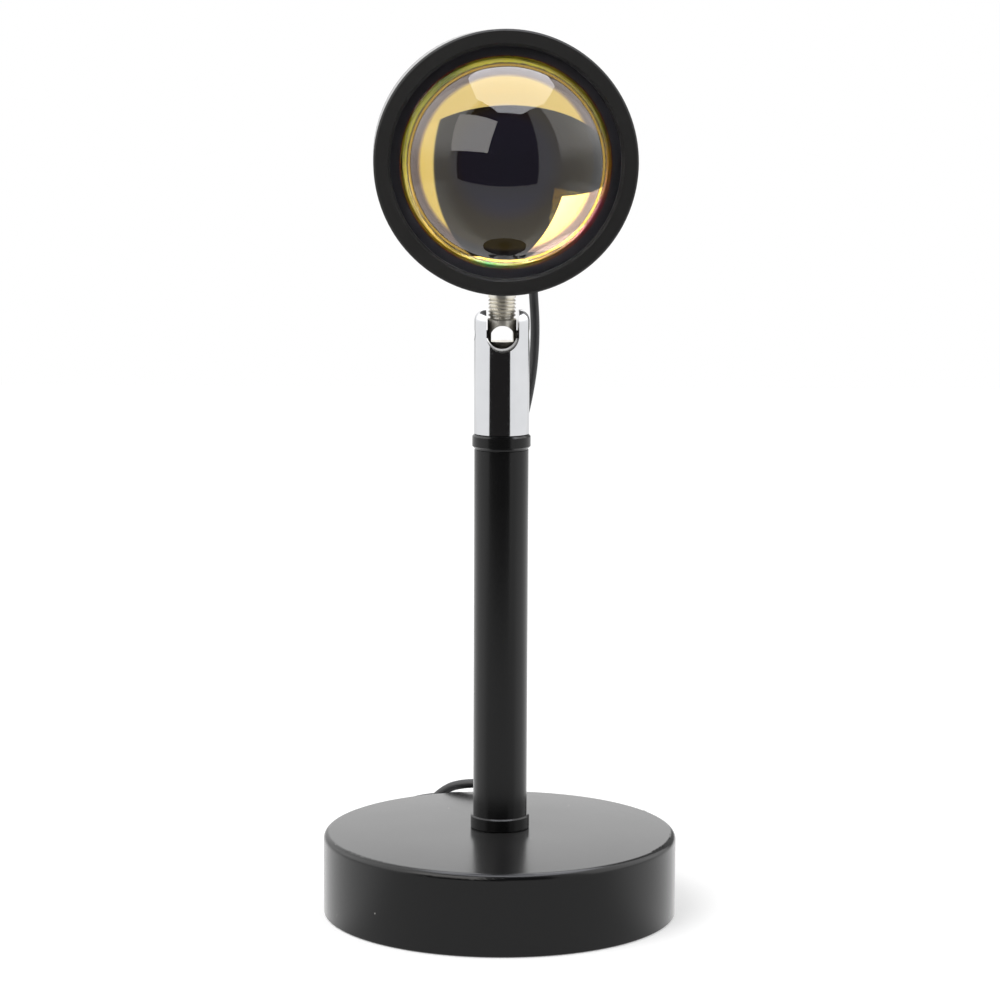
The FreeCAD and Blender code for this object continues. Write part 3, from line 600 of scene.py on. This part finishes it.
def strap_weave():
    """Woven strap: crossing threads in two directions."""
    r = new_recipe("strap_black_weave")
    where = r.place()
    warp = r.node("TexWave", {"bands_direction": "X"}, {"Vector": where, "Scale": 700.0, "Distortion": 0.4},
                  "Fac")
    weft = r.node("TexWave", {"bands_direction": "DIAGONAL"},
                  {"Vector": r.vector("MULTIPLY", where, (0.0, 1.0, 1.0)), "Scale": 620.0,
                   "Distortion": 0.4}, "Fac")
    weave = warp * weft
    return r.principled(Base_Color=r.mix(weave, shade(0.010, 0.010, 0.011), shade(0.045, 0.045, 0.048)),
                        Roughness=0.85, Sheen_Weight=0.3, Normal=r.bump(weave, 0.00012, 0.8))


def pad_foam():
    """Closed-cell foam: tiny round cells."""
    r = new_recipe("foot_pad_foam")
    where = r.place()
    cells = r.node("TexVoronoi", {"feature": "SMOOTH_F1"}, {"Vector": where, "Scale": 2200.0}, "Distance")
    return r.principled(Base_Color=r.mix(cells, shade(0.020, 0.020, 0.021), shade(0.055, 0.055, 0.056)),
                        Roughness=0.9, Normal=r.bump(cells, 0.0001, 0.7))


def white_board():
    """Aluminium-core board: white mask with a faint ring of the copper under it."""
    r = new_recipe("white_led_board")
    where = r.place()
    centre = tuple(Vector((0, 0, head_z)) - lens_way * board_depth * MM)
    away = r.vector("LENGTH", r.vector("SUBTRACT", where, centre), (0, 0, 0), "Value")
    track = r.between(away, 0.0050, 0.0053) * r.between(away, 0.0066, 0.0063)
    cloud = r.noise(where, 0.002, 2.0)
    mask = r.mix(cloud, shade(0.80, 0.80, 0.78), shade(0.86, 0.86, 0.84))
    return r.principled(Base_Color=r.mix(track * 0.35, mask, shade(0.70, 0.66, 0.56)),
                        Roughness=0.35 + cloud * 0.1)


def emitter_resin():
    """Yellow phosphor under clear resin."""
    r = new_recipe("led_emitter_resin")
    where = r.place()
    grain = r.noise(where, 0.0004, 3.0)
    return r.principled(Base_Color=r.mix(grain, shade(0.82, 0.66, 0.16), shade(0.92, 0.80, 0.30)),
                        Roughness=0.2 + grain * 0.1, Coat_Weight=0.6)


def clear_glass():
    """Optical glass of the dome."""
    r = new_recipe("dome_clear_glass")
    return r.principled(Base_Color=shade(1.0, 1.0, 1.0), Roughness=0.0, IOR=1.52,
                        Transmission_Weight=1.0)


def filter_coating():
    """Interference coating: rings of colour from the middle of the disc out; the thin rings past about half
    the radius, the patches near the dome's edge and the red rim are painted colour fringes and glints of the
    dome's refraction.
    """
    r = new_recipe("filter_sunset_coating")
    offset = r.vector("SUBTRACT", r.place(), (0, 0, head_z))
    side = (-lens_way).cross(Vector((0, 0, 1)))
    across = r.vector("DOT_PRODUCT", offset, tuple(side), "Value")
    up = r.vector("DOT_PRODUCT", offset, (0, 0, 1), "Value")
    away = r.node("Math", {"operation": "SQRT"}, {0: across * across + up * up})
    radius = away / (filter_r * MM)
    turn = r.node("Math", {"operation": "ARCTAN2"}, {0: up, 1: across}) / math.tau + 0.5
    cloud = r.noise(r.place(), 0.009, 2.0) - 0.5
    streak = r.noise(r.place(), 0.0016, 2.0) - 0.5
    # Painted colour fringes: the thin dark and gold rings past 0.52 of the radius.
    rings = r.node("ValToRGB", {"stops": ring_stops}, {0: radius + cloud * 0.012}, "Color")
    # Painted glints and colour fringes round the dome's edge, changing with the angle round the axis; the
    # dark round lines below cross them.
    patches = r.node("ValToRGB", {"stops": edge_glint_stops}, {0: turn + cloud * 0.06 + streak * 0.04}, "Color")
    edge = r.between(radius + streak * 0.03, *edge_glints_from)
    # Painted red fringe at the dome's edge.
    red_fringe = r.between(radius + streak * 0.05 + cloud * 0.04, *red_fringe_from)
    round_line = r.node("CombineXYZ", {}, {0: across / away * 1.6, 1: up / away * 1.6, 2: radius * 60.0})
    lines = r.between(r.noise(round_line, 1.0, 2.0), 0.30, 0.48)
    flange = r.between(radius, *flange_from)
    patches = r.mix(lines, shade(0.075, 0.055, 0.018), patches)
    colour = r.mix(red_fringe, r.mix(edge, rings, patches), shade(0.55, 0.09, 0.05))
    # Less metal where the painted glints are, so that their colour shows as a glow under the soft light.
    return r.principled(Base_Color=r.mix(flange, colour, shade(0.048, 0.048, 0.058)),
                        Metallic=1.0 - flange - (edge - flange) * 0.45, Roughness=0.03 + flange * 0.3)


def make_finishes():
    """One finish for each material slot of the record."""
    return {
        "satin_black": satin_paint(),
        "black_aluminium": anodised_black(),
        "raw_iron": raw_iron(),
        "zinc_steel": plated_steel("zinc_plated_steel", shade(0.66, 0.67, 0.70), shade(0.50, 0.51, 0.53),
                                   0.28),
        "black_steel": plated_steel("black_oxide_steel", shade(0.06, 0.06, 0.065),
                                    shade(0.03, 0.03, 0.032), 0.3),
        "bright_chrome": bright_chrome(),
        "warm_nickel": warm_nickel(),
        "plug_nickel": plated_steel("plug_nickel_plate", shade(0.76, 0.74, 0.70),
                                    shade(0.66, 0.64, 0.60), 0.2),
        "foam_black": pad_foam(),
        "black_rubber": soft_moulding("black_rubber", shade(0.016, 0.016, 0.017),
                                      shade(0.026, 0.026, 0.028), 0.55, 0.0004, 0.00003),
        "cord_black": cord_sheath_finish(),
        "tie_black": strap_weave(),
        "black_plastic": soft_moulding("black_moulded_plastic", shade(0.018, 0.018, 0.019),
                                       shade(0.026, 0.026, 0.028), 0.42, 0.0005, 0.00004),
        "button_grey": soft_moulding("grey_button_plastic", shade(0.13, 0.13, 0.135),
                                     shade(0.17, 0.17, 0.175), 0.35, 0.0005, 0.00002),
        "white_plastic": soft_moulding("white_plug_plastic", shade(0.78, 0.78, 0.75),
                                       shade(0.84, 0.84, 0.82), 0.3, 0.0005, 0.00001),
        "white_board": white_board(),
        "emitter_resin": emitter_resin(),
        "lead_red": soft_moulding("red_lead_insulation", shade(0.42, 0.03, 0.025),
                                  shade(0.52, 0.05, 0.04), 0.35, 0.0006, 0.00001),
        "bare_aluminium": bare_aluminium(),
        "clear_glass": clear_glass(),
        "coated_glass": filter_coating(),
    }


def finish_cad_nodes(finishes):
    """Gives each carried-over node the finish of its slot."""
    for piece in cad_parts.values():
        for holder in piece.material_slots:
            holder.material = finishes[holder.material.name.split(".")[0]]


# ---------------------------------------------------------------- studio
table_front = -0.52
table_back = 1.4
table_half_width = 0.9


def make_floor():
    """White table top.  Metal and glass see it end in front of the lamp, as the photographed one does."""
    r = new_recipe("white_table")
    white = r.node("BsdfDiffuse", {}, {"Color": shade(0.80, 0.80, 0.80)})
    lift = r.node("Emission", {}, {"Color": shade(1, 1, 1), "Strength": 0.36})
    across, ahead = (r.node("SeparateXYZ", {}, {0: r.place()}, axis) for axis in "XY")
    turn = r.node("Math", {"operation": "ARCTAN2"}, {0: across, 1: 0.0 - ahead})
    near = r.between(r.vector("LENGTH", r.place(), (0, 0, 0), "Value"), 1.0, 0.65)
    beside = r.between(r.node("Math", {"operation": "ABSOLUTE"}, {0: turn}), 0.9, 1.4) * near
    mirrored = r.node("Emission", {}, {"Color": shade(1, 1, 1), "Strength": 0.85 + beside * 0.45})
    seen = r.node("AddShader", {}, {0: white, 1: lift})
    plain = r.node("MixShader", {}, {0: r.ray("Is Camera Ray"), 1: white, 2: seen})
    r.end(r.node("MixShader", {}, {0: r.mirror_ray(), 1: plain, 2: mirrored}))
    mesh = bpy.data.meshes.new("white_table")
    half = table_half_width
    corners = [(-half, table_front, 0), (half, table_front, 0),
               (half, table_back, 0), (-half, table_back, 0)]
    mesh.from_pydata(corners, [], [(0, 1, 2, 3)])
    mesh.materials.append(r.owner)
    table = bpy.data.objects.new("white_table", mesh)
    scene.collection.objects.link(table)


def make_room():
    """White all round for the camera and for soft light; metal and glass see a dark side in front."""
    world = bpy.data.worlds.new("studio")
    scene.world = world
    r = Recipe(world)
    way = r.node("TexCoord", {}, {}, "Generated")
    across, ahead, up = (r.node("SeparateXYZ", {}, {0: way}, axis) for axis in "XYZ")
    turn = r.node("Math", {"operation": "ARCTAN2"}, {0: across, 1: 0.0 - ahead})
    left_end, right_end, panel_start, panel_end = (math.radians(a) for a in (-52, 35, 60, 125))
    gap_start, gap_end = math.radians(141), math.radians(168)
    step = math.radians(2)
    lit = r.between(turn, right_end, right_end + step) + r.between(turn, left_end, left_end - step)
    away = r.node("Math", {"operation": "ABSOLUTE"}, {0: turn})
    panels = r.between(away, panel_start, panel_start + step) * r.between(away, panel_end + step, panel_end)
    behind = r.between(away, panel_start, panel_start + step)
    gap = r.between(away, gap_start, gap_start + step) * r.between(away, gap_end + step, gap_end)
    shut = gap * r.between(turn, 0.0, 0.1, 0.3, 0.8)
    dark = r.mix(r.between(up, 0.1, 0.5), shade(0.016, 0.015, 0.015), shade(0.030, 0.030, 0.044))
    walls = r.mix(lit, dark, shade(0.92, 0.92, 0.92))
    boost = behind * 0.8 * r.between(up, -0.15, 0.45) + panels * 0.7 * r.between(up, 0.0, 0.3)
    plain = r.mix(r.ray("Is Camera Ray"), shade(0.80, 0.80, 0.80), shade(1, 1, 1))
    mirrored = r.mirror_ray()
    strength = (1.0 + mirrored * boost) * (1.0 - mirrored * shut)
    r.end(r.node("Background", {}, {"Color": r.mix(mirrored, plain, walls), "Strength": strength}), "World")
    world.cycles.sampling_method = "NONE"


def make_softbox(name, corners, centre, half, facing, strength, tint):
    """A flat soft light that mirrors show and the camera doesn't see."""
    r = new_recipe(name)
    r.end(r.node("Emission", {}, {"Color": tint, "Strength": strength}))
    way = Vector(facing).normalized().to_track_quat("Z", "Y").to_matrix()
    points = []
    for k in range(corners):
        angle = math.tau * (k + 0.5) / corners
        corner = Vector((half[0] * math.cos(angle), half[1] * math.sin(angle), 0))
        points.append(Vector(centre) + way @ corner)
    mesh = bpy.data.meshes.new(name)
    mesh.from_pydata(points, [], [tuple(range(corners))])
    mesh.materials.append(r.owner)
    light = bpy.data.objects.new(name, mesh)
    scene.collection.objects.link(light)
    light.visible_camera = False
    light.visible_diffuse = False
    light.visible_shadow = False


def make_key_light():
    """Large soft lamp from the upper left that gives the shapes some shading."""
    lamp = bpy.data.lights.new("key_light", "AREA")
    lamp.shape = "DISK"
    lamp.size = 0.8
    lamp.energy = 6.0
    holder = bpy.data.objects.new("key_light", lamp)
    holder.location = (-0.5, -0.5, 1.1)
    holder.rotation_euler = (Vector((0, 0, 0.12)) - holder.location).to_track_quat("-Z", "Y").to_euler()
    scene.collection.objects.link(holder)
    holder.visible_glossy = False


def make_studio():
    make_floor()
    make_room()
    make_key_light()
    make_softbox("octagon_softbox", 8, (0.11, 0.14, 1.3), (0.66, 1.0), (0, 0, -1), 5.5,
                 shade(0.93, 0.94, 1.0))
    make_softbox("square_softbox", 4, (-0.65, -0.81, 0.81), (0.65, 0.55), (0.65, 0.81, -0.6), 4.0,
                 shade(1.0, 0.98, 0.95))


# ---------------------------------------------------------------- making
set_camera()
finishes = make_finishes()
make_cords(finishes)
finish_cad_nodes(finishes)
make_foot_pad(finishes["foam_black"])
make_filter(finishes["coated_glass"])
make_studio()
